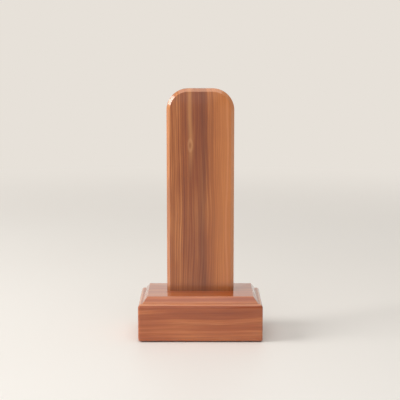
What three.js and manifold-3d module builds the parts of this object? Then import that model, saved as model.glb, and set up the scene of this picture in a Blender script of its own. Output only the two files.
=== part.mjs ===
// Memorial tablet: an upright lacquered board that stands by a tenon in a two-tier plinth.
// Millimetres, +Z up, front towards -Y. The origin is the middle of the plane it rests on.
import * as THREE from "three";
import { mergeVertices } from "three/addons/utils/BufferGeometryUtils.js";
import Module from "manifold-3d";

const wasm = await Module();
wasm.setup();

// Felt pads under the corners of the plinth
const padDiameter = 10;
const padThickness = 1;
const padEdgeMargin = 4;

// Lower plinth: a solid block with eased corners and a rounded top edge
const blockWidth = 100;
const blockDepth = 62;
const blockHeight = 30;
const blockCornerRadius = 1.8;
const blockRoundover = 3.2;
const blockFootEasing = 0.6;

// Upper plinth: a thin raised panel with four bevelled sides
const ledgeWidth = 0.5;
const panelHeight = 5;
const panelBevelRun = 3.8;
const panelCornerRadius = 0.6;

// Upright board: rounded top corners and a chamfer round both faces
const boardWidth = 54.5;
const boardHeight = 165.5;
const boardThickness = 10;
const boardChamfer = 2.6;
const boardTopRadius = 17.5;

// Tenon under the board's shoulder, and the mortise that guides it
const tenonWidth = 40;
const tenonThickness = 5;
const tenonLength = 20;
const tenonLeadIn = 0.8;
const tenonCornerRadius = 0.5;
const mortiseSideClearance = 0.3;
const mortiseEndClearance = 0.5;

// Dowels that locate the upper plinth on the lower one
const dowelDiameter = 5;
const dowelDepthInPanel = 3;
const dowelDepthInBlock = 9;
const dowelEndMargin = 8.5;
const dowelClearance = 0.3;

// Facets
const cornerSteps = 5;
const roundoverSteps = 6;
const boardArcSteps = 20;
const roundPieceSides = 40;
const smallestCornerRadius = 0.2;
const weldTolerance = 1e-4;
const cutOverrun = 2;

// Heights worked out from the sizes above
const blockBottom = padThickness;
const blockTop = blockBottom + blockHeight;
const panelTop = blockTop + panelHeight;
const panelInset = blockRoundover + ledgeWidth;
const tenonBottom = panelTop - tenonLength;
const mortiseFloor = tenonBottom - mortiseEndClearance;
const dowelReach = blockWidth / 2 - panelInset - panelBevelRun - dowelEndMargin;

// Finishes
const boardWood = { color: 0xa65f3c, roughness: 0.32, metalness: 0 };
const plinthWood = { color: 0xb56f4a, roughness: 0.3, metalness: 0 };
const dowelWood = { color: 0xd2ac7c, roughness: 0.7, metalness: 0 };
const padFelt = { color: 0x2e2622, roughness: 0.95, metalness: 0 };

// A closed mesh becomes a solid that can be joined and cut.
function toSolid(geometry) {
  geometry.deleteAttribute("normal");
  geometry.deleteAttribute("uv");
  const welded = mergeVertices(geometry, weldTolerance);
  const vertProperties = new Float32Array(welded.attributes.position.array);
  const triVerts = new Uint32Array(welded.index.array);
  return new wasm.Manifold(new wasm.Mesh({ numProp: 3, vertProperties, triVerts }));
}

// A solid becomes a geometry again.
function toGeometry(solid) {
  const mesh = solid.getMesh();
  const geometry = new THREE.BufferGeometry();
  geometry.setAttribute("position", new THREE.BufferAttribute(new Float32Array(mesh.vertProperties), 3));
  geometry.setIndex(new THREE.BufferAttribute(new Uint32Array(mesh.triVerts), 1));
  const faceted = geometry.toNonIndexed();
  faceted.computeVertexNormals();
  return faceted;
}

// A rectangle with rounded corners, anticlockwise seen from above.
function roundedRectangle(width, depth, radius) {
  const corners = [[1, 1], [-1, 1], [-1, -1], [1, -1]];
  const points = [];
  corners.forEach(([sideX, sideY], quarter) => {
    for (let step = 0; step <= cornerSteps; step += 1) {
      const angle = (quarter + step / cornerSteps) * Math.PI / 2;
      const x = sideX * (width / 2 - radius) + radius * Math.cos(angle);
      const y = sideY * (depth / 2 - radius) + radius * Math.sin(angle);
      points.push(new THREE.Vector2(x, y));
    }
  });
  return points;
}

// A block built up from level outlines, each drawn in by its own inset.
function steppedBlock(width, depth, cornerRadius, levels) {
  const positions = [];
  const indices = [];
  levels.forEach(({ inset, z }) => {
    const radius = Math.max(cornerRadius - inset, smallestCornerRadius);
    const outline = roundedRectangle(width - 2 * inset, depth - 2 * inset, radius);
    outline.forEach((point) => positions.push(point.x, point.y, z));
  });
  const count = 4 * (cornerSteps + 1);
  const lowCentre = positions.length / 3;
  positions.push(0, 0, levels[0].z);
  const highCentre = positions.length / 3;
  positions.push(0, 0, levels[levels.length - 1].z);
  const highRing = (levels.length - 1) * count;
  for (let index = 0; index < count; index += 1) {
    const next = (index + 1) % count;
    indices.push(lowCentre, next, index);
    indices.push(highCentre, highRing + index, highRing + next);
    for (let level = 0; level < levels.length - 1; level += 1) {
      const low = level * count;
      const high = low + count;
      indices.push(low + index, low + next, high + next);
      indices.push(low + index, high + next, high + index);
    }
  }
  const geometry = new THREE.BufferGeometry();
  geometry.setAttribute("position", new THREE.Float32BufferAttribute(positions, 3));
  geometry.setIndex(indices);
  return geometry;
}

// An upright round piece that stands on the given height.
function uprightCylinder(diameter, height, x, y, bottom) {
  const geometry = new THREE.CylinderGeometry(diameter / 2, diameter / 2, height, roundPieceSides);
  geometry.rotateX(Math.PI / 2);
  geometry.translate(x, y, bottom + height / 2);
  return geometry;
}

// The slot that the tenon slides in, open at the top.
function mortiseCut() {
  const height = panelTop + cutOverrun - mortiseFloor;
  const width = tenonWidth + 2 * mortiseSideClearance;
  const depth = tenonThickness + 2 * mortiseSideClearance;
  const geometry = new THREE.BoxGeometry(width, depth, height);
  geometry.translate(0, 0, mortiseFloor + height / 2);
  return toSolid(geometry);
}

// Both ends of each dowel hole run past the dowel by the same clearance.
function dowelHoleCut(x) {
  const diameter = dowelDiameter + 2 * dowelClearance;
  const bottom = blockTop - dowelDepthInBlock - dowelClearance;
  const height = dowelDepthInBlock + dowelDepthInPanel + 2 * dowelClearance;
  return toSolid(uprightCylinder(diameter, height, x, 0, bottom));
}

const dowelPlaces = { left: -dowelReach, right: dowelReach };

// Lower plinth
function lowerPlinth() {
  const levels = [
    { inset: blockFootEasing, z: blockBottom },
    { inset: 0, z: blockBottom + blockFootEasing },
  ];
  for (let step = 0; step <= roundoverSteps; step += 1) {
    const angle = (step / roundoverSteps) * Math.PI / 2;
    const inset = blockRoundover * (1 - Math.cos(angle));
    levels.push({ inset, z: blockTop - blockRoundover * (1 - Math.sin(angle)) });
  }
  let solid = toSolid(steppedBlock(blockWidth, blockDepth, blockCornerRadius, levels));
  solid = solid.subtract(mortiseCut());
  Object.values(dowelPlaces).forEach((x) => {
    solid = solid.subtract(dowelHoleCut(x));
  });
  return toGeometry(solid);
}

// Upper plinth
function upperPlinth() {
  const width = blockWidth - 2 * panelInset;
  const depth = blockDepth - 2 * panelInset;
  const levels = [
    { inset: 0, z: blockTop },
    { inset: panelBevelRun, z: panelTop },
  ];
  let solid = toSolid(steppedBlock(width, depth, panelCornerRadius, levels));
  solid = solid.subtract(mortiseCut());
  Object.values(dowelPlaces).forEach((x) => {
    solid = solid.subtract(dowelHoleCut(x));
  });
  return toGeometry(solid);
}

// The board's outline from the front. It runs on below the shoulder, so that the
// chamfer along its lower end is cut away and the shoulder is left square.
function boardOutline() {
  const half = boardWidth / 2;
  const radius = boardTopRadius;
  const outline = new THREE.Shape();
  outline.moveTo(-half, -2 * boardChamfer);
  outline.lineTo(half, -2 * boardChamfer);
  outline.lineTo(half, boardHeight - radius);
  outline.absarc(half - radius, boardHeight - radius, radius, 0, Math.PI / 2);
  outline.absarc(radius - half, boardHeight - radius, radius, Math.PI / 2, Math.PI);
  outline.closePath();
  return outline;
}

// Upright board with its tenon, in one piece
function tabletBoard() {
  const blank = new THREE.ExtrudeGeometry(boardOutline(), {
    depth: boardThickness - 2 * boardChamfer,
    bevelEnabled: true,
    bevelThickness: boardChamfer,
    bevelSize: boardChamfer,
    bevelOffset: -boardChamfer,
    bevelSegments: 1,
    curveSegments: boardArcSteps,
  });
  blank.translate(0, 0, boardChamfer - boardThickness / 2);
  blank.rotateX(Math.PI / 2);
  blank.translate(0, 0, panelTop);

  const wasteHeight = 4 * boardChamfer;
  const waste = new THREE.BoxGeometry(boardWidth + cutOverrun, boardThickness + cutOverrun, wasteHeight);
  waste.translate(0, 0, panelTop - wasteHeight / 2);

  const tenon = steppedBlock(tenonWidth, tenonThickness, tenonCornerRadius, [
    { inset: tenonLeadIn, z: tenonBottom },
    { inset: 0, z: tenonBottom + tenonLeadIn },
    { inset: 0, z: panelTop + cutOverrun },
  ]);
  return toGeometry(toSolid(blank).subtract(toSolid(waste)).add(toSolid(tenon)));
}

// Dowels
function dowel(x) {
  const length = dowelDepthInBlock + dowelDepthInPanel;
  return uprightCylinder(dowelDiameter, length, x, 0, blockTop - dowelDepthInBlock);
}

// Felt pads
function feltPad(sideX, sideY) {
  const margin = padEdgeMargin + padDiameter / 2;
  const x = sideX * (blockWidth / 2 - margin);
  const y = sideY * (blockDepth / 2 - margin);
  return uprightCylinder(padDiameter, padThickness, x, y, 0);
}

function piece(name, geometry, finish) {
  const mesh = new THREE.Mesh(geometry, new THREE.MeshStandardMaterial(finish));
  mesh.name = name;
  return mesh;
}

const plinth = new THREE.Group();
plinth.add(piece("lower_plinth", lowerPlinth(), plinthWood));
plinth.add(piece("upper_plinth", upperPlinth(), plinthWood));
Object.entries(dowelPlaces).forEach(([side, x]) => {
  plinth.add(piece(`locating_dowel_${side}`, dowel(x), dowelWood));
});
const padPlaces = {
  front_left: [-1, -1],
  front_right: [1, -1],
  back_left: [-1, 1],
  back_right: [1, 1],
};
Object.entries(padPlaces).forEach(([corner, [sideX, sideY]]) => {
  plinth.add(piece(`felt_pad_${corner}`, feltPad(sideX, sideY), padFelt));
});

const tablet = new THREE.Group();
tablet.add(piece("tablet_board", tabletBoard(), boardWood));

const memorialTablet = new THREE.Group();
memorialTablet.add(plinth, tablet);

export default memorialTablet;
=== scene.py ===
"""The looks of a lacquered wooden memorial tablet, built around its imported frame."""

import logging
import math
from dataclasses import dataclass
from enum import Enum
from typing import Any, Iterable, Sequence

import bmesh
import bpy
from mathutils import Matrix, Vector


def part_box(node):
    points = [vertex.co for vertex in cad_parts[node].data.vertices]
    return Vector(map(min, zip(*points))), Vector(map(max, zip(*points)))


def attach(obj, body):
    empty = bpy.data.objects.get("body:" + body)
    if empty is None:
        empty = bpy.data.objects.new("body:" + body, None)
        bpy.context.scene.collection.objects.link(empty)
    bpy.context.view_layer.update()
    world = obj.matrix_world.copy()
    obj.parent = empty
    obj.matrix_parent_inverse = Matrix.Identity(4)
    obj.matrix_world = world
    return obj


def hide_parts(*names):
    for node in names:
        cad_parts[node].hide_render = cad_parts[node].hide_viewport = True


log = logging.getLogger("memorial_tablet")
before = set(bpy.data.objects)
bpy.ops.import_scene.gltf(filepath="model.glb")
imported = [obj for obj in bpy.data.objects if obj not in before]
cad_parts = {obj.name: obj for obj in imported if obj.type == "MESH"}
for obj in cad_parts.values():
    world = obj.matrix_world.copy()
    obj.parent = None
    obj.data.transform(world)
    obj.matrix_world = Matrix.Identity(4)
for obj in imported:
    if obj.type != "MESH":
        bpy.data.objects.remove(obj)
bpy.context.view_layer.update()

QUARTER_TURN = math.pi / 2
CUT_OVERRUN = 0.002
NOISE_MIDDLE = 0.5

Place = tuple[float, float, float]
Tint = tuple[float, float, float]
Paint = tuple[int, int, int]
Range = tuple[float, float]
Outline = list[tuple[float, float]]


def linear(red: int, green: int, blue: int) -> tuple[float, float, float, float]:
    """Turns a display colour into the linear one that a shader reads.

    Args:
        red: Red, 0 to 255.
        green: Green, 0 to 255.
        blue: Blue, 0 to 255.

    Returns:
        The linear colour with full alpha.
    """
    def channel(value: int) -> float:
        """Turns one display channel into a linear one."""
        share = value / 255
        return share / 12.92 if share <= 0.04045 else ((share + 0.055) / 1.055) ** 2.4

    return channel(red), channel(green), channel(blue), 1.0


class Grain(Enum):
    """The way that a board's grain runs."""

    UPRIGHT = "upright"
    LEVEL = "level"


class Socket:
    """A node's output that can be used in Python expressions."""

    def __init__(self, owner: "NodeTree", output: bpy.types.NodeSocket) -> None:
        """Keeps the tree that the output belongs to."""
        self.owner = owner
        self.output = output

    def _math(self, operation: str, first: Any, second: Any) -> "Socket":
        """Adds one Math node."""
        settings = {"operation": operation}
        return self.owner.node("ShaderNodeMath", settings, {0: first, 1: second})

    def __add__(self, other: Any) -> "Socket":
        """Adds a value."""
        return self._math("ADD", self, other)

    def __radd__(self, other: Any) -> "Socket":
        """Is added to a value."""
        return self._math("ADD", other, self)

    def __sub__(self, other: Any) -> "Socket":
        """Takes a value away."""
        return self._math("SUBTRACT", self, other)

    def __rsub__(self, other: Any) -> "Socket":
        """Is taken away from a value."""
        return self._math("SUBTRACT", other, self)

    def __mul__(self, other: Any) -> "Socket":
        """Multiplies by a value."""
        return self._math("MULTIPLY", self, other)

    def __rmul__(self, other: Any) -> "Socket":
        """Multiplies a value."""
        return self._math("MULTIPLY", other, self)

    def __truediv__(self, other: Any) -> "Socket":
        """Is divided by a value."""
        return self._math("DIVIDE", self, other)

    def __rtruediv__(self, other: Any) -> "Socket":
        """Divides a value."""
        return self._math("DIVIDE", other, self)

    def __pow__(self, other: Any) -> "Socket":
        """Is raised to a power."""
        return self._math("POWER", self, other)

    def __rpow__(self, other: Any) -> "Socket":
        """Is the power that a value is raised to."""
        return self._math("POWER", other, self)

    def clamp(self) -> "Socket":
        """Keeps the value between 0 and 1."""
        return self.owner.node("ShaderNodeClamp", {}, {"Value": self})

    def sine(self) -> "Socket":
        """Gives the sine of the value."""
        return self._math("SINE", self, 0.0)

    def size(self) -> "Socket":
        """Gives the value without its sign."""
        return self._math("ABSOLUTE", self, 0.0)

    def band(self, middle: float, width: float) -> "Socket":
        """Gives 1 at the middle, and falls smoothly to 0 at the width to either side.

        Args:
            middle: The value at which the band is strongest.
            width: How far to either side the band reaches.

        Returns:
            The strength of the band.
        """
        return self.smooth_step(middle - width, middle) * (1 - self.smooth_step(middle, middle + width))

    def smooth_step(self, low: float, high: float) -> "Socket":
        """Rises smoothly from 0 to 1.

        Args:
            low: The value up to which the result is 0.
            high: The value from which the result is 1.

        Returns:
            The smoothed share.
        """
        inputs = {"Value": self, "From Min": low, "From Max": high, "To Min": 0.0, "To Max": 1.0}
        return self.owner.node("ShaderNodeMapRange", {"interpolation_type": "SMOOTHSTEP"}, inputs)


class NodeTree:
    """Adds and links the nodes of one tree."""

    def __init__(self, tree: bpy.types.NodeTree) -> None:
        """Starts with the tree empty."""
        self.tree = tree
        self.tree.nodes.clear()

    def node(self, kind: str, settings: dict[str, Any], inputs: dict[Any, Any], result: Any = 0) -> Socket:
        """Adds a node.

        Args:
            kind: The node's type.
            settings: Its own settings, set before its sockets. "stops" fills a colour ramp.
            inputs: The value or link of each of its sockets.
            result: Which of its outputs is wanted.

        Returns:
            The wanted output.
        """
        made = self.tree.nodes.new(kind)
        for key, value in settings.items():
            if key == "stops":
                self._fill_ramp(made.color_ramp, value)
            else:
                setattr(made, key, value)
        for key, value in inputs.items():
            self._feed(made.inputs[key], value)
        return Socket(self, made.outputs[result])

    def _feed(self, socket: bpy.types.NodeSocket, value: Any) -> None:
        """Links a socket, or sets its value.

        Args:
            socket: The socket to feed.
            value: Another node's output, or a plain value.
        """
        if isinstance(value, Socket):
            self.tree.links.new(value.output, socket)
        else:
            socket.default_value = value

    @staticmethod
    def _fill_ramp(ramp: bpy.types.ColorRamp, stops: Sequence[tuple[float, Any]]) -> None:
        """Fills a colour ramp with its stops.

        Args:
            ramp: The new ramp.
            stops: The place and the linear colour of each stop.
        """
        while len(ramp.elements) < len(stops):
            ramp.elements.new(1.0)
        for element, (place, colour) in zip(ramp.elements, stops):
            element.position = place
            element.color = colour


class Shader(NodeTree):
    """One material's node tree."""

    def __init__(self, name: str) -> None:
        """Starts an empty material with its surface shader and its output.

        Args:
            name: The material's name.
        """
        self.material = bpy.data.materials.new(name)
        self.material.use_nodes = True
        super().__init__(self.material.node_tree)
        self.surface = self.tree.nodes.new("ShaderNodeBsdfPrincipled")
        self.output = self.tree.nodes.new("ShaderNodeOutputMaterial")
        self.tree.links.new(self.surface.outputs[0], self.output.inputs["Surface"])

    def spot(self) -> Socket:
        """Gives the point on the piece, in metres."""
        return self.node("ShaderNodeTexCoord", {}, {}, "Object")

    def place(self) -> tuple[Socket, Socket, Socket]:
        """Splits the point on the piece.

        Returns:
            Its three coordinates, in metres.
        """
        spot = self.spot()
        axes = [self.node("ShaderNodeSeparateXYZ", {}, {0: spot}, index) for index in range(3)]
        return axes[0], axes[1], axes[2]

    def joined(self, x: Any, y: Any, z: Any) -> Socket:
        """Makes a vector of three values."""
        return self.node("ShaderNodeCombineXYZ", {}, {0: x, 1: y, 2: z})

    def noise(self, vector: Socket, scale: float, detail: float = 3.0, rough: float = 0.5) -> Socket:
        """Gives smooth noise.

        Args:
            vector: Where the noise is read.
            scale: How fine it is.
            detail: How many finer layers it has.
            rough: How strong the finer layers are.

        Returns:
            The noise, about 0.5 on average.
        """
        inputs = {"Vector": vector, "Scale": scale, "Detail": detail, "Roughness": rough}
        return self.node("ShaderNodeTexNoise", {}, inputs)

    def ramp(self, factor: Socket, stops: Sequence[tuple[float, Any]]) -> Socket:
        """Turns a value into a colour."""
        return self.node("ShaderNodeValToRGB", {"stops": stops}, {"Fac": factor})

    def two_tone(self, factor: Socket, places: Range, dark: Paint, light: Paint) -> Socket:
        """Turns a value into a colour between two.

        Args:
            factor: The value.
            places: The values at which the colour is wholly dark, and wholly light.
            dark: The dark display colour.
            light: The light one.

        Returns:
            The colour.
        """
        low, high = places
        return self.ramp(factor, [(low, linear(*dark)), (high, linear(*light))])

    def mix(self, factor: Any, first: Any, second: Any) -> Socket:
        """Mixes two colours.

        Args:
            factor: The share of the second colour.
            first: The first colour.
            second: The second colour.

        Returns:
            The mixed colour.
        """
        return self.node("ShaderNodeMix", {"data_type": "RGBA"}, {0: factor, 6: first, 7: second}, 2)

    def bump(self, height: Socket, distance: float, strength: float) -> Socket:
        """Gives the normal of a surface with that relief."""
        inputs = {"Height": height, "Distance": distance, "Strength": strength}
        return self.node("ShaderNodeBump", {}, inputs)

    def finish(self, **values: Any) -> bpy.types.Material:
        """Feeds the surface shader and gives the material.

        Args:
            **values: Socket names, with an underscore for each space, and what feeds them.

        Returns:
            The finished material.
        """
        for key, value in values.items():
            self._feed(self.surface.inputs[key.replace("_", " ")], value)
        return self.material


@dataclass(frozen=True)
class Figure:
    """A pattern in the wood, with how fine it is along the grain and across it, per metre."""

    along: float
    across: float
    layers: float
    rough: float = 0.5
    shift: float = 0.0

    def read(self, shader: Shader, along: Socket, across: Socket, third: Any) -> Socket:
        """Reads the pattern at a point.

        Args:
            shader: The shader that is being built.
            along: The coordinate along the grain.
            across: The coordinate across it.
            third: The third coordinate, before the pattern's own shift.

        Returns:
            The pattern, about 0.5 on average.
        """
        spot = shader.joined(along * self.along, across * self.across, third + self.shift)
        return shader.noise(spot, 1.0, self.layers, self.rough)


@dataclass(frozen=True)
class LacqueredWood:
    """Reddish wood with streaks, growth lines and fine pores under a clear coat."""

    name: str
    grain: Grain
    seed: float
    dark: Paint = (120, 55, 18)
    middle: Paint = (163, 84, 30)
    light: Paint = (202, 124, 62)
    streak: Paint = (98, 35, 10)
    gold: Paint = (224, 152, 88)
    # Colour of the painted highlight along the rounded upper edge.
    roundover_highlight: Paint = (242, 176, 126)
    drift: Figure = Figure(9.0, 26.0, 2.0)
    sweep: Figure = Figure(3.0, 8.0, 1.0, shift=5.0)
    ring_drift: Figure = Figure(2.0, 170.0, 2.0, shift=3.0)
    streaks: Figure = Figure(7.0, 520.0, 5.0, 0.7)
    fibres: Figure = Figure(55.0, 2600.0, 2.0, 0.6)
    clouds: Figure = Figure(14.0, 60.0, 2.0, shift=9.0)
    drift_reach: float = 0.009
    sway: float = 0.016
    pitch: float = 0.0019
    ring_share: float = 0.34
    ring_tilt: float = 0.45
    ring_unevenness: float = 9.0
    late_wood_sharpness: float = 2.6
    tone_places: tuple[float, float, float] = (0.30, 0.47, 0.62)
    streak_share: float = 0.62
    pore_range: Range = (0.52, 0.75)
    pore_share: float = 0.30
    glint_streaks: Range = (0.56, 0.74)
    glint_clouds: Range = (0.42, 0.62)
    glint_share: float = 0.5
    # Lighter towards gold along sharp convex edges: the pointiness range and share.
    lightened_range: Range = (0.53, 0.60)
    lightened_share: float = 0.30
    # Painted highlight along the rounded upper edge: its share, and the upward facing where it is
    # strongest.
    roundover_highlight_share: float = 0.6
    roundover_highlight_rise: float = 0.84
    roundover_highlight_spread: float = 0.15
    ring_relief: float = 0.4
    relief_depth: float = 0.00006
    relief_strength: float = 0.35
    roughness: float = 0.34
    fibre_roughness: float = 0.10
    cloud_roughness: float = 0.08
    wood_gloss: float = 0.15
    coat: float = 1.0
    coat_index: float = 1.6
    coat_roughness: float = 0.12

    def _along_and_across(self, shader: Shader) -> tuple[Socket, Socket, Socket]:
        """Finds how the grain lies at a point.

        Args:
            shader: The shader that is being built.

        Returns:
            The coordinate along the grain, the one across it on the front, and the depth.
        """
        x, y, z = shader.place()
        if self.grain is Grain.UPRIGHT:
            return z, x, y
        return x, z, y

    def _ring_place(self, shader: Shader, along: Socket, across: Socket, deep: Socket) -> Socket:
        """Bends the coordinate across the grain, so that the growth lines wander.

        Args:
            shader: The shader that is being built.
            along: The coordinate along the grain.
            across: The coordinate across it.
            deep: The depth.

        Returns:
            The place among the growth rings, in metres.
        """
        drift = self.drift.read(shader, along, across, deep * self.drift.across + self.seed)
        sweep = self.sweep.read(shader, along, across, self.seed)
        bend = (drift - NOISE_MIDDLE) * self.drift_reach + (sweep - NOISE_MIDDLE) * self.sway
        return across + bend + deep * self.ring_tilt

    def _late_wood(self, shader: Shader, along: Socket, ring_place: Socket) -> Socket:
        """Draws the dark, narrow side of each growth ring.

        Args:
            shader: The shader that is being built.
            along: The coordinate along the grain.
            ring_place: The place among the growth rings.

        Returns:
            The strength of the dark line, 0 to 1.
        """
        uneven = self.ring_drift.read(shader, along, ring_place, self.seed)
        turns = ring_place * (2 * math.pi / self.pitch) + uneven * self.ring_unevenness
        ring_wave = turns.sine() * 0.5 + 0.5
        return ring_wave ** self.late_wood_sharpness

    def _tone(self, shader: Shader, streaks: Socket, clouds: Socket) -> Socket:
        """Colours the wood from dark to light.

        Args:
            shader: The shader that is being built.
            streaks: The streaks along the grain.
            clouds: The broad lighter and darker patches.

        Returns:
            The colour.
        """
        tone = streaks * self.streak_share + clouds * (1 - self.streak_share)
        paints = (self.dark, self.middle, self.light)
        stops = [(place, linear(*paint)) for place, paint in zip(self.tone_places, paints)]
        return shader.ramp(tone, stops)

    def material(self) -> bpy.types.Material:
        """Builds the wood.

        Returns:
            The finished material.
        """
        shader = Shader(self.name)
        along, across, deep = self._along_and_across(shader)
        ring_place = self._ring_place(shader, along, across, deep)
        late_wood = self._late_wood(shader, along, ring_place)
        streaks = self.streaks.read(shader, along, ring_place, self.seed)
        fibres = self.fibres.read(shader, along, across, deep * self.fibres.across)
        clouds = self.clouds.read(shader, along, across, self.seed)
        base = self._tone(shader, streaks, clouds)
        ringed = shader.mix(late_wood * self.ring_share, base, linear(*self.streak))
        pores = fibres.smooth_step(*self.pore_range) * self.pore_share
        fibred = shader.mix(pores, ringed, linear(*self.dark))
        glints = streaks.smooth_step(*self.glint_streaks) * clouds.smooth_step(*self.glint_clouds)
        glinting = shader.mix(glints * self.glint_share, fibred, linear(*self.gold))
        # The wood's own marks, and painted highlight and shade.
        coloured = self.marks_and_painted_light(shader, glinting, along, across)
        # Lighter towards gold along sharp convex edges.
        edge = shader.node("ShaderNodeNewGeometry", {}, {}, "Pointiness")
        lightened_edge = edge.smooth_step(*self.lightened_range) * self.lightened_share
        lightened = shader.mix(lightened_edge, coloured, linear(*self.gold))
        matt = self.roughness + fibres * self.fibre_roughness
        relief = late_wood * self.ring_relief + fibres * (1 - self.ring_relief)
        return shader.finish(
            Base_Color=lightened,
            Roughness=matt + (clouds - NOISE_MIDDLE) * self.cloud_roughness,
            Normal=shader.bump(relief, self.relief_depth, self.relief_strength),
            Coat_Weight=self.coat,
            Coat_Roughness=self.coat_roughness,
            Coat_IOR=self.coat_index,
            Specular_IOR_Level=self.wood_gloss,
        )

    def marks_and_painted_light(self, shader: Shader, colour: Socket, along: Socket, across: Socket) -> Socket:
        """Paints a highlight along the wood's rounded upper edge, where it faces mostly up.

        Args:
            shader: The shader that is being built.
            colour: The wood's colour so far.
            along: The coordinate along the grain; not used here.
            across: The coordinate across it; not used here.

        Returns:
            The colour with the painted highlight.
        """
        normal = shader.node("ShaderNodeNewGeometry", {}, {}, "Normal")
        rise = shader.node("ShaderNodeSeparateXYZ", {}, {0: normal}, 2)
        # Painted highlight: lighter where the surface faces mostly up, as on the roundover.
        edge = rise.band(self.roundover_highlight_rise, self.roundover_highlight_spread)
        return shader.mix(edge * self.roundover_highlight_share, colour, linear(*self.roundover_highlight))


@dataclass(frozen=True)
class Streak:
    """A streak of another colour that runs up the board."""

    place: float
    reach: float
    share: float
    paint: Paint

    def drawn(self, shader: Shader, colour: Socket, across: Socket, strength: Any = 1.0) -> Socket:
        """Draws the streak.

        Args:
            shader: The shader that is being built.
            colour: The wood's colour so far.
            across: Distance to the right of the board's middle.
            strength: How strong the streak is at each point, 0 to 1.

        Returns:
            The colour with the streak.
        """
        factor = across.band(self.place, self.reach) * strength * self.share
        return shader.mix(factor, colour, linear(*self.paint))


@dataclass(frozen=True)
class PinKnot:
    """A small pale ring round a dark centre, drawn out along the grain."""

    place: float = -0.0089
    height: float = 0.156
    half_width: float = 0.0016
    half_height: float = 0.0042
    ring_spread: float = 0.7
    ring_share: float = 0.24
    ring_paint: Paint = (230, 168, 116)
    core_range: Range = (0.15, 0.75)
    core_share: float = 0.28
    core_paint: Paint = (120, 58, 30)

    def drawn(self, shader: Shader, colour: Socket, along: Socket, across: Socket) -> Socket:
        """Draws the knot.

        Args:
            shader: The shader that is being built.
            colour: The wood's colour so far.
            along: Height.
            across: Distance to the right of the board's middle.

        Returns:
            The colour with the pin knot.
        """
        wide = (across - self.place) / self.half_width
        tall = (along - self.height) / self.half_height
        distance = (wide * wide + tall * tall) ** 0.5
        ring = distance.band(1.0, self.ring_spread) * self.ring_share
        ringed = shader.mix(ring, colour, linear(*self.ring_paint))
        core = 1 - distance.smooth_step(*self.core_range)
        return shader.mix(core * self.core_share, ringed, linear(*self.core_paint))


@dataclass(frozen=True)
class BoardWood(LacqueredWood):
    """The upright board's wood: redder in the middle, lighter at the right."""

    red_core: Streak = Streak(-0.003, 0.016, 0.42, (124, 48, 15))
    dark_line: Streak = Streak(0.0022, 0.0042, 0.36, (92, 33, 10))
    golden_line: Streak = Streak(-0.0085, 0.0032, 0.50, (226, 156, 92))
    bright_line: Streak = Streak(0.0215, 0.0012, 0.45, (224, 148, 96))
    knot: PinKnot = PinKnot()
    wander_fineness: float = 16.0
    wander_reach: float = 0.004
    right_range: Range = (0.002, 0.020)
    right_share: float = 0.66
    right_paint: Paint = (214, 130, 66)
    golden_heights: Range = (0.120, 0.165)
    # Painted highlight on the chamfers.
    chamfer_highlight_spread: float = 0.24
    chamfer_highlight_share: float = 0.34
    chamfer_highlight_paint: Paint = (238, 168, 122)
    # Painted shade at the board's foot, just above the plinth.
    foot: float = 0.036
    foot_shade_fade: float = 0.009
    foot_shade_share: float = 0.50
    foot_shade_paint: Paint = (86, 29, 8)

    def marks_and_painted_light(self, shader: Shader, colour: Socket, along: Socket, across: Socket) -> Socket:
        """Adds the broad bands and the streaks of this board, with a painted highlight on its chamfers and
        painted shade at its foot.

        Args:
            shader: The shader that is being built.
            colour: The wood's colour so far.
            along: Height.
            across: Distance to the right of the middle.

        Returns:
            The colour with the bands and streaks, the painted highlight and the painted shade.
        """
        waver = shader.noise(shader.joined(along * self.wander_fineness, self.seed, 0.0), 1.0, 1.0)
        place = across + (waver - NOISE_MIDDLE) * self.wander_reach
        red = self.red_core.drawn(shader, colour, place)
        right = place.smooth_step(*self.right_range) * self.right_share
        banded = shader.mix(right, red, linear(*self.right_paint))
        streaked = self.dark_line.drawn(shader, banded, place)
        upper = along.smooth_step(*self.golden_heights)
        golden = self.golden_line.drawn(shader, streaked, place, upper)
        bright = self.bright_line.drawn(shader, golden, place)
        knotted = self.knot.drawn(shader, bright, along, place)
        lit = self._chamfer_highlights(shader, knotted)
        # Painted shade: darker towards the board's foot.
        shade = 1 - along.smooth_step(self.foot, self.foot + self.foot_shade_fade)
        return shader.mix(shade * self.foot_shade_share, lit, linear(*self.foot_shade_paint))

    def _chamfer_highlights(self, shader: Shader, colour: Socket) -> Socket:
        """Paints a highlight on the chamfers, whose faces turn 45 degrees from the front.

        Args:
            shader: The shader that is being built.
            colour: The wood's colour so far.

        Returns:
            The colour with the painted highlight on the chamfers.
        """
        normal = shader.node("ShaderNodeNewGeometry", {}, {}, "True Normal")
        facing = shader.node("ShaderNodeSeparateXYZ", {}, {0: normal}, 1).size()
        # Painted highlight where the face turns 45 degrees from the front.
        slant = facing.band(math.cos(math.pi / 4), self.chamfer_highlight_spread)
        return shader.mix(slant * self.chamfer_highlight_share, colour, linear(*self.chamfer_highlight_paint))


@dataclass(frozen=True)
class BareWood:
    """Pale bare wood of the dowels."""

    name: str
    dark: Paint = (188, 150, 106)
    light: Paint = (222, 190, 146)
    flecks: Figure = Figure(120.0, 900.0, 3.0)
    tone_range: Range = (0.35, 0.65)
    roughness: float = 0.6
    fleck_roughness: float = 0.2
    relief_depth: float = 0.00008
    relief_strength: float = 0.5

    def material(self) -> bpy.types.Material:
        """Builds the bare wood.

        Returns:
            The finished material.
        """
        shader = Shader(self.name)
        x, y, z = shader.place()
        fineness = self.flecks
        spot = shader.joined(x * fineness.across, y * fineness.across, z * fineness.along)
        flecks = shader.noise(spot, 1.0, fineness.layers, fineness.rough)
        colour = shader.two_tone(flecks, self.tone_range, self.dark, self.light)
        return shader.finish(
            Base_Color=colour,
            Roughness=flecks * self.fleck_roughness + self.roughness,
            Normal=shader.bump(flecks, self.relief_depth, self.relief_strength),
        )


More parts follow.
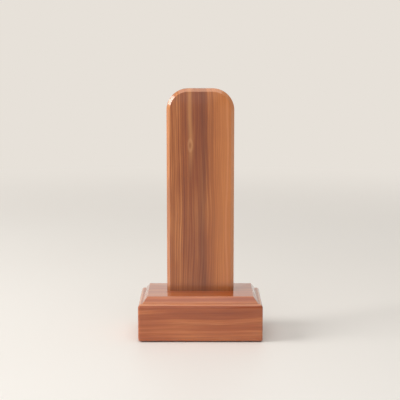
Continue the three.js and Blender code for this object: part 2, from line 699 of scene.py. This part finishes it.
@dataclass(frozen=True)
class PressedFelt:
    """Dark pressed felt of the pads."""

    name: str
    dark: Paint = (34, 27, 24)
    light: Paint = (74, 62, 55)
    tuft_fineness: float = 2400.0
    tuft_share: float = 0.6
    matting_fineness: float = 500.0
    tone_range: Range = (0.3, 0.7)
    roughness: float = 0.88
    tuft_roughness: float = 0.1
    relief_depth: float = 0.0002
    relief_strength: float = 0.7
    sheen: float = 0.3

    def material(self) -> bpy.types.Material:
        """Builds the felt.

        Returns:
            The finished material.
        """
        shader = Shader(self.name)
        spot = shader.spot()
        tufts = shader.noise(spot, self.tuft_fineness, detail=4.0, rough=0.7)
        matting = shader.noise(spot, self.matting_fineness, detail=2.0)
        tone = tufts * self.tuft_share + matting * (1 - self.tuft_share)
        colour = shader.two_tone(tone, self.tone_range, self.dark, self.light)
        return shader.finish(
            Base_Color=colour,
            Roughness=tufts * self.tuft_roughness + self.roughness,
            Normal=shader.bump(tufts, self.relief_depth, self.relief_strength),
            Sheen_Weight=self.sheen,
        )


def log_piece(piece: bpy.types.Object) -> None:
    """Reports a finished piece."""
    log.info("%s: %d faces", piece.name, len(piece.data.polygons))


def mesh_piece(name: str, mesh: bmesh.types.BMesh, material: bpy.types.Material) -> bpy.types.Object:
    """Makes an object from a finished mesh.

    Args:
        name: The piece's name.
        mesh: Its mesh, which is freed.
        material: Its finish.

    Returns:
        The new object.
    """
    bmesh.ops.recalc_face_normals(mesh, faces=mesh.faces)
    data = bpy.data.meshes.new(name)
    mesh.to_mesh(data)
    mesh.free()
    data.materials.append(material)
    piece = bpy.data.objects.new(name, data)
    bpy.context.scene.collection.objects.link(piece)
    return piece


def loft(rings: Sequence[Sequence[Vector]]) -> bmesh.types.BMesh:
    """Joins rings of points into a closed body.

    Args:
        rings: Rings with the same number of points, from one end to the other.

    Returns:
        The mesh, with a flat face on the first and the last ring.
    """
    mesh = bmesh.new()
    grid = [[mesh.verts.new(point) for point in ring] for ring in rings]
    count = len(grid[0])
    for low, high in zip(grid, grid[1:]):
        for index in range(count):
            after = (index + 1) % count
            mesh.faces.new((low[index], low[after], high[after], high[index]))
    mesh.faces.new(list(reversed(grid[0])))
    mesh.faces.new(grid[-1])
    return mesh


def rounded_outline(half_x: float, half_y: float, radius: float, steps: int) -> Outline:
    """Gives a rectangle with rounded corners.

    Args:
        half_x: Half its width.
        half_y: Half its depth.
        radius: The radius of its corners.
        steps: Steps in each corner.

    Returns:
        Its points, anticlockwise.
    """
    points = []
    for quarter, (side_x, side_y) in enumerate(((1, 1), (-1, 1), (-1, -1), (1, -1))):
        for step in range(steps + 1):
            angle = (quarter + step / steps) * QUARTER_TURN
            x = side_x * (half_x - radius) + radius * math.cos(angle)
            y = side_y * (half_y - radius) + radius * math.sin(angle)
            points.append((x, y))
    return points


def level_ring(outline: Outline, z: float) -> list[Vector]:
    """Lays an outline flat at a height."""
    return [Vector((x, y, z)) for x, y in outline]


def combine(piece: bpy.types.Object, other: bpy.types.Object, operation: str) -> None:
    """Cuts or joins a piece with another, which is used up.

    Args:
        piece: The piece that is kept.
        other: The cutter, or the stock that is added.
        operation: DIFFERENCE to cut, UNION to join.
    """
    change = piece.modifiers.new(other.name, "BOOLEAN")
    change.operation = operation
    change.solver = "EXACT"
    change.object = other
    bpy.context.view_layer.objects.active = piece
    bpy.ops.object.modifier_apply(modifier=change.name)
    bpy.data.objects.remove(other)


def smooth_by_angle(piece: bpy.types.Object, angle: float) -> None:
    """Shades a piece smoothly, but keeps the edges sharp that turn more than the angle.

    Args:
        piece: The piece.
        angle: The angle in degrees.
    """
    mesh = bmesh.new()
    mesh.from_mesh(piece.data)
    for face in mesh.faces:
        face.smooth = True
    for edge in mesh.edges:
        if len(edge.link_faces) == 2:
            edge.smooth = edge.calc_face_angle(0.0) < math.radians(angle)
    mesh.to_mesh(piece.data)
    mesh.free()


def put_in_place(piece: bpy.types.Object, body: str, node: str) -> None:
    """Puts a piece in a node's stead.

    Args:
        piece: The finished piece.
        body: The body that it rides on.
        node: The node that it replaces.
    """
    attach(piece, body)
    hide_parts(node)
    log_piece(piece)


@dataclass(frozen=True)
class Tenon:
    """The board's tenon, and the room that the mortise leaves round it."""

    half_width: float = 0.020
    half_thickness: float = 0.0025
    length: float = 0.020
    lead_in: float = 0.0008
    corner_radius: float = 0.0005
    corner_steps: int = 4
    side_clearance: float = 0.0003
    end_clearance: float = 0.0005

    def mortise_outline(self) -> Outline:
        """Gives the mortise seen from above.

        Returns:
            Its four corners, anticlockwise.
        """
        half_x = self.half_width + self.side_clearance
        half_y = self.half_thickness + self.side_clearance
        return [(half_x, half_y), (-half_x, half_y), (-half_x, -half_y), (half_x, -half_y)]

    def rings(self, bottom: float, top: float) -> list[list[Vector]]:
        """Gives the tenon's outlines, with the lead-in at its lower end.

        Args:
            bottom: The height of its lower end.
            top: The height that its stock reaches inside the board.

        Returns:
            The rings, from the lower end up.
        """
        rings = []
        for inset, z in ((self.lead_in, bottom), (0.0, bottom + self.lead_in), (0.0, top)):
            half_x = self.half_width - inset
            half_y = self.half_thickness - inset
            outline = rounded_outline(half_x, half_y, self.corner_radius, self.corner_steps)
            rings.append(level_ring(outline, z))
        return rings


@dataclass
class Plinth:
    """The two-tier plinth, with its pads and dowels."""

    tenon: Tenon
    corner_radius: float = 0.0018
    roundover: float = 0.0032
    foot_easing: float = 0.0006
    bevel_run: float = 0.0038
    panel_corner: float = 0.0006
    arris: float = 0.00035
    smallest_radius: float = 0.0002
    pad_rim_share: float = 0.3
    pad_corner_share: float = 0.3
    corner_steps: int = 8
    foot_steps: int = 4
    roundover_steps: int = 12
    arris_steps: int = 5
    pad_sides: int = 48
    block_smoothing: float = 32.0
    panel_smoothing: float = 24.0
    pad_smoothing: float = 50.0
    body: str = "plinth"

    def __post_init__(self) -> None:
        """Reads the places of the tiers from the frame."""
        self.block_low, self.block_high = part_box("lower_plinth")
        self.panel_low, self.panel_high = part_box("upper_plinth")

    def _ring(self, low: Vector, high: Vector, inset: float, radius: float, z: float) -> list[Vector]:
        """Gives one outline of a tier.

        Args:
            low: The tier's lowest corner.
            high: Its highest corner.
            inset: How far the outline is drawn in.
            radius: The radius of the tier's upright corners.
            z: The outline's height.

        Returns:
            The ring of points.
        """
        half_x = (high.x - low.x) / 2 - inset
        half_y = (high.y - low.y) / 2 - inset
        kept = max(radius - inset, self.smallest_radius)
        return level_ring(rounded_outline(half_x, half_y, kept, self.corner_steps), z)

    def _cut_mortise(self, piece: bpy.types.Object, floor: float) -> None:
        """Cuts the slot that the tenon slides in.

        Args:
            piece: The tier to cut.
            floor: The height of the slot's floor.
        """
        outline = self.tenon.mortise_outline()
        rings = [level_ring(outline, z) for z in (floor, self.panel_high.z + CUT_OVERRUN)]
        cutter = mesh_piece("mortise_cutter", loft(rings), piece.data.materials[0])
        combine(piece, cutter, "DIFFERENCE")

    def build_block(self, material: bpy.types.Material) -> None:
        """Builds the lower tier.

        Args:
            material: Its wood.
        """
        low, high = self.block_low, self.block_high
        rings = [self._ring(low, high, self.foot_easing, self.corner_radius, low.z)]
        for step in range(1, self.foot_steps + 1):
            angle = step / self.foot_steps * QUARTER_TURN
            inset = self.foot_easing * (1 - math.sin(angle))
            z = low.z + self.foot_easing * (1 - math.cos(angle))
            rings.append(self._ring(low, high, inset, self.corner_radius, z))
        for step in range(self.roundover_steps + 1):
            angle = step / self.roundover_steps * QUARTER_TURN
            inset = self.roundover * (1 - math.cos(angle))
            z = high.z - self.roundover * (1 - math.sin(angle))
            rings.append(self._ring(low, high, inset, self.corner_radius, z))
        block = mesh_piece("plinth_block", loft(rings), material)
        self._cut_mortise(block, self.panel_high.z - self.tenon.length - self.tenon.end_clearance)
        smooth_by_angle(block, self.block_smoothing)
        put_in_place(block, self.body, "lower_plinth")

    def build_panel(self, material: bpy.types.Material) -> None:
        """Builds the raised panel with its bevelled sides.

        Args:
            material: Its wood.
        """
        low, high = self.panel_low, self.panel_high
        rise = high.z - low.z
        slope = math.atan2(rise, self.bevel_run)
        rings = [
            self._ring(low, high, 0.0, self.panel_corner, low.z),
            self._ring(low, high, self.bevel_run / 2, self.panel_corner, low.z + rise / 2),
        ]
        centre_inset = self.bevel_run + self.arris * math.tan(slope / 2)
        centre_z = high.z - self.arris
        for step in range(self.arris_steps + 1):
            angle = slope * (1 - step / self.arris_steps)
            inset = centre_inset - self.arris * math.sin(angle)
            z = centre_z + self.arris * math.cos(angle)
            rings.append(self._ring(low, high, inset, self.panel_corner, z))
        panel = mesh_piece("plinth_panel", loft(rings), material)
        self._cut_mortise(panel, low.z - CUT_OVERRUN)
        smooth_by_angle(panel, self.panel_smoothing)
        put_in_place(panel, self.body, "upper_plinth")

    def _pad_rings(self, low: Vector, high: Vector) -> list[list[Vector]]:
        """Gives the rings of a round pad with a soft rim.

        Args:
            low: The pad's lowest corner.
            high: Its highest corner.

        Returns:
            The rings, from the bottom up.
        """
        centre = (low + high) / 2
        radius = (high.x - low.x) / 2
        rim = (high.z - low.z) * self.pad_rim_share
        corner = rim * self.pad_corner_share
        profile = [(radius - rim, low.z), (radius - corner, low.z + corner), (radius, low.z + rim)]
        profile += [(radius, high.z - rim), (radius - corner, high.z - corner), (radius - rim, high.z)]
        turns = [2 * math.pi * index / self.pad_sides for index in range(self.pad_sides)]
        rings = []
        for reach, z in profile:
            offsets = [(reach * math.cos(turn), reach * math.sin(turn)) for turn in turns]
            rings.append(level_ring([(centre.x + x, centre.y + y) for x, y in offsets], z))
        return rings

    def build_pads(self, material: bpy.types.Material) -> None:
        """Builds the four felt pads.

        Args:
            material: Their felt.
        """
        for corner in ("front_left", "front_right", "back_left", "back_right"):
            node = f"felt_pad_{corner}"
            pad = mesh_piece(f"felt_{corner}", loft(self._pad_rings(*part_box(node))), material)
            smooth_by_angle(pad, self.pad_smoothing)
            put_in_place(pad, self.body, node)

    def dress_dowels(self, material: bpy.types.Material) -> None:
        """Gives the two dowels their bare wood.

        Args:
            material: The bare wood.
        """
        for side in ("left", "right"):
            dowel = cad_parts[f"locating_dowel_{side}"]
            dowel.data.materials.clear()
            dowel.data.materials.append(material)
            log_piece(dowel)


@dataclass
class Tablet:
    """The upright board with its tenon."""

    tenon: Tenon
    chamfer: float = 0.0026
    top_radius: float = 0.0175
    arris: float = 0.0003
    side_rows: int = 6
    corner_steps: int = 28
    arris_steps: int = 4
    smoothing: float = 30.0
    body: str = "tablet"

    def __post_init__(self) -> None:
        """Reads the board's place from the frame."""
        self.low, self.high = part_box("tablet_board")
        self.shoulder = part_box("upper_plinth")[1].z

    def _outline(self, inset: float) -> Outline:
        """Gives the front outline above the shoulder.

        Args:
            inset: How far it is drawn in at the sides and the top.

        Returns:
            Its points, across and up, anticlockwise from the lower left.
        """
        half = (self.high.x - self.low.x) / 2 - inset
        top = self.high.z - inset
        radius = self.top_radius - inset
        side = top - radius - self.shoulder
        heights = [self.shoulder + side * row / self.side_rows for row in range(1, self.side_rows)]
        points = [(-half, self.shoulder), (half, self.shoulder)]
        points += [(half, height) for height in heights]
        for start, centre in ((0.0, half - radius), (QUARTER_TURN, radius - half)):
            for step in range(self.corner_steps + 1):
                angle = start + step / self.corner_steps * QUARTER_TURN
                points.append((centre + radius * math.cos(angle), top - radius + radius * math.sin(angle)))
        points += [(-half, height) for height in reversed(heights)]
        return points

    def _levels(self) -> list[tuple[float, float]]:
        """Rounds the arrises on both sides of each chamfer.

        Returns:
            The inset and the depth of each outline, from the front face to the back.
        """
        half = (self.high.y - self.low.y) / 2
        turn = math.pi / 4
        reach = self.arris * math.tan(turn / 2)
        front = []
        for step in range(self.arris_steps + 1):
            angle = turn * step / self.arris_steps
            inset = self.chamfer + reach - self.arris * math.sin(angle)
            front.append((inset, -half + self.arris * (1 - math.cos(angle))))
        for step in range(self.arris_steps + 1):
            angle = turn + turn * step / self.arris_steps
            inset = self.arris * (1 - math.sin(angle))
            front.append((inset, -half + self.chamfer + reach - self.arris * math.cos(angle)))
        return front + [(inset, -depth) for inset, depth in reversed(front)]

    def build(self, material: bpy.types.Material) -> None:
        """Builds the board and its tenon in one mesh.

        Args:
            material: Its wood.
        """
        rings = [[Vector((x, y, z)) for x, z in self._outline(inset)] for inset, y in self._levels()]
        board = mesh_piece("board", loft(rings), material)
        tenon_rings = self.tenon.rings(self.low.z, self.shoulder + CUT_OVERRUN)
        combine(board, mesh_piece("tenon_stock", loft(tenon_rings), material), "UNION")
        smooth_by_angle(board, self.smoothing)
        put_in_place(board, self.body, "tablet_board")


@dataclass(frozen=True)
class PaleFloor:
    """The pale floor, which turns into an even ground far from the tablet."""

    name: str
    distance_paint: Paint
    dark: Paint = (236, 232, 226)
    light: Paint = (242, 239, 234)
    tone_range: Range = (0.3, 0.7)
    fineness: float = 1.3
    roughness: float = 0.42
    uneven_roughness: float = 0.1
    distance_range: Range = (0.35, 1.1)
    seen_by: tuple[str, ...] = ("Is Camera Ray", "Is Glossy Ray", "Is Transmission Ray")

    def material(self) -> bpy.types.Material:
        """Builds the floor's finish.

        Returns:
            The finished material.
        """
        shader = Shader(self.name)
        drift = shader.noise(shader.spot(), self.fineness, detail=2.0)
        material = shader.finish(
            Base_Color=shader.two_tone(drift, self.tone_range, self.dark, self.light),
            Roughness=drift * self.uneven_roughness + self.roughness,
        )
        self._add_distance(shader)
        return material

    def _add_distance(self, shader: Shader) -> None:
        """Lets the floor turn into an even pale ground far from the tablet.

        Args:
            shader: The floor's shader, already finished.
        """
        x, y, _ = shader.place()
        reach = (x * x + y * y) ** 0.5
        far = reach.smooth_step(*self.distance_range)
        camera, glossy, through = (shader.node("ShaderNodeLightPath", {}, {}, ray) for ray in self.seen_by)
        seen = (camera + glossy + through).clamp()
        glow = {"Color": linear(*self.distance_paint), "Strength": 1.0}
        ground = shader.node("ShaderNodeEmission", {}, glow)
        surface = Socket(shader, shader.surface.outputs[0])
        mixed = shader.node("ShaderNodeMixShader", {}, {0: far * seen, 1: surface, 2: ground})
        shader.tree.links.new(mixed.output, shader.output.inputs["Surface"])


@dataclass(frozen=True)
class Lamp:
    """A square soft lamp."""

    name: str
    place: Place
    power: float
    size: float
    tint: Tint

    def hang(self, target: Place) -> None:
        """Adds the lamp to the scene, unseen by the camera.

        Args:
            target: The point that it faces.
        """
        data = bpy.data.lights.new(self.name, "AREA")
        data.energy = self.power
        data.shape = "SQUARE"
        data.size = self.size
        data.color = self.tint
        lamp = bpy.data.objects.new(self.name, data)
        lamp.location = self.place
        lamp.rotation_euler = (Vector(target) - Vector(self.place)).to_track_quat("-Z", "Y").to_euler()
        lamp.visible_camera = False
        bpy.context.scene.collection.objects.link(lamp)


@dataclass
class Studio:
    """The floor, the lights and the camera."""

    camera_place: Place = (0.0, -0.900, 0.252)
    pitch_down: float = 8.92
    yaw: float = 0.02
    lens: float = 100.7
    sensor_width: float = 36.0
    nearest_seen: float = 0.01
    floor_reach: float = 6.0
    backdrop_start: float = 1.6
    backdrop_radius: float = 0.8
    backdrop_top: float = 3.5
    backdrop_steps: int = 16
    distance_paint: Paint = (231, 225, 217)
    surround_paint: Paint = (243, 241, 238)
    surround_strength: float = 0.34
    aim: Place = (0.0, 0.0, 0.1)
    lamps: tuple[Lamp, ...] = (
        Lamp("key", (-1.35, -0.25, 0.85), 17.0, 0.8, (1.0, 0.985, 0.97)),
        Lamp("fill", (-0.4, -1.7, 0.7), 3.5, 1.2, (1.0, 0.99, 0.98)),
        Lamp("overhead", (0.0, -0.3, 1.5), 11.0, 1.6, (1.0, 0.99, 0.98)),
    )

    def _floor_mesh(self) -> bmesh.types.BMesh:
        """Sweeps the floor's profile from side to side.

        Returns:
            The mesh of the floor and the backdrop that it turns up into.
        """
        profile = [(-self.floor_reach, 0.0)]
        for step in range(self.backdrop_steps + 1):
            angle = step / self.backdrop_steps * QUARTER_TURN
            y = self.backdrop_start + self.backdrop_radius * math.sin(angle)
            profile.append((y, self.backdrop_radius * (1 - math.cos(angle))))
        profile.append((self.backdrop_start + self.backdrop_radius, self.backdrop_top))
        mesh = bmesh.new()
        rows = [[mesh.verts.new((side * self.floor_reach, y, z)) for side in (-1, 1)] for y, z in profile]
        for near, far in zip(rows, rows[1:]):
            mesh.faces.new((near[0], near[1], far[1], far[0]))
        return mesh

    def build_floor(self) -> None:
        """Builds a pale floor that turns up into a backdrop behind the tablet."""
        material = PaleFloor("pale_floor", self.distance_paint).material()
        floor = mesh_piece("floor", self._floor_mesh(), material)
        for polygon in floor.data.polygons:
            polygon.use_smooth = True

    def light(self) -> None:
        """Adds the lamps and an even surround, which the camera sees as a pale ground."""
        for lamp in self.lamps:
            lamp.hang(self.aim)
        world = bpy.data.worlds.new("surround")
        world.use_nodes = True
        sky = NodeTree(world.node_tree)
        soft_light = {"Color": linear(*self.surround_paint), "Strength": self.surround_strength}
        soft = sky.node("ShaderNodeBackground", {}, soft_light)
        ground = sky.node("ShaderNodeBackground", {}, {"Color": linear(*self.distance_paint)})
        camera = sky.node("ShaderNodeLightPath", {}, {}, "Is Camera Ray")
        mixed = sky.node("ShaderNodeMixShader", {}, {0: camera, 1: soft, 2: ground})
        output = sky.tree.nodes.new("ShaderNodeOutputWorld")
        sky.tree.links.new(mixed.output, output.inputs["Surface"])
        bpy.context.scene.world = world

    def place_camera(self) -> None:
        """Sets the camera at the photograph's viewing angle."""
        data = bpy.data.cameras.new("camera")
        data.lens = self.lens
        data.sensor_width = self.sensor_width
        data.clip_start = self.nearest_seen
        camera = bpy.data.objects.new("camera", data)
        camera.location = self.camera_place
        camera.rotation_euler = (math.radians(90.0 - self.pitch_down), 0.0, math.radians(self.yaw))
        bpy.context.scene.collection.objects.link(camera)
        bpy.context.scene.camera = camera
        bpy.context.scene.view_settings.view_transform = "Standard"


def main() -> None:
    """Builds the tablet, piece by piece."""
    logging.basicConfig(level=logging.INFO, format="%(message)s")
    studio = Studio()
    studio.place_camera()
    studio.build_floor()
    studio.light()

    board_wood = BoardWood("board_wood", Grain.UPRIGHT, seed=3.1).material()
    plinth_wood = LacqueredWood(
        "plinth_wood",
        Grain.LEVEL,
        seed=7.7,
        dark=(148, 67, 26),
        middle=(178, 90, 42),
        light=(206, 122, 68),
        streak=(122, 47, 18),
        pitch=0.0042,
        ring_share=0.22,
        sway=0.034,
        streaks=Figure(7.0, 260.0, 5.0, 0.7),
        roughness=0.26,
        coat_roughness=0.06,
    ).material()

    tenon = Tenon()
    plinth = Plinth(tenon)
    plinth.build_block(plinth_wood)
    plinth.build_panel(plinth_wood)
    plinth.build_pads(PressedFelt("pad_felt").material())
    plinth.dress_dowels(BareWood("dowel_wood").material())
    Tablet(tenon).build(board_wood)


if __name__ == "__main__":
    main()
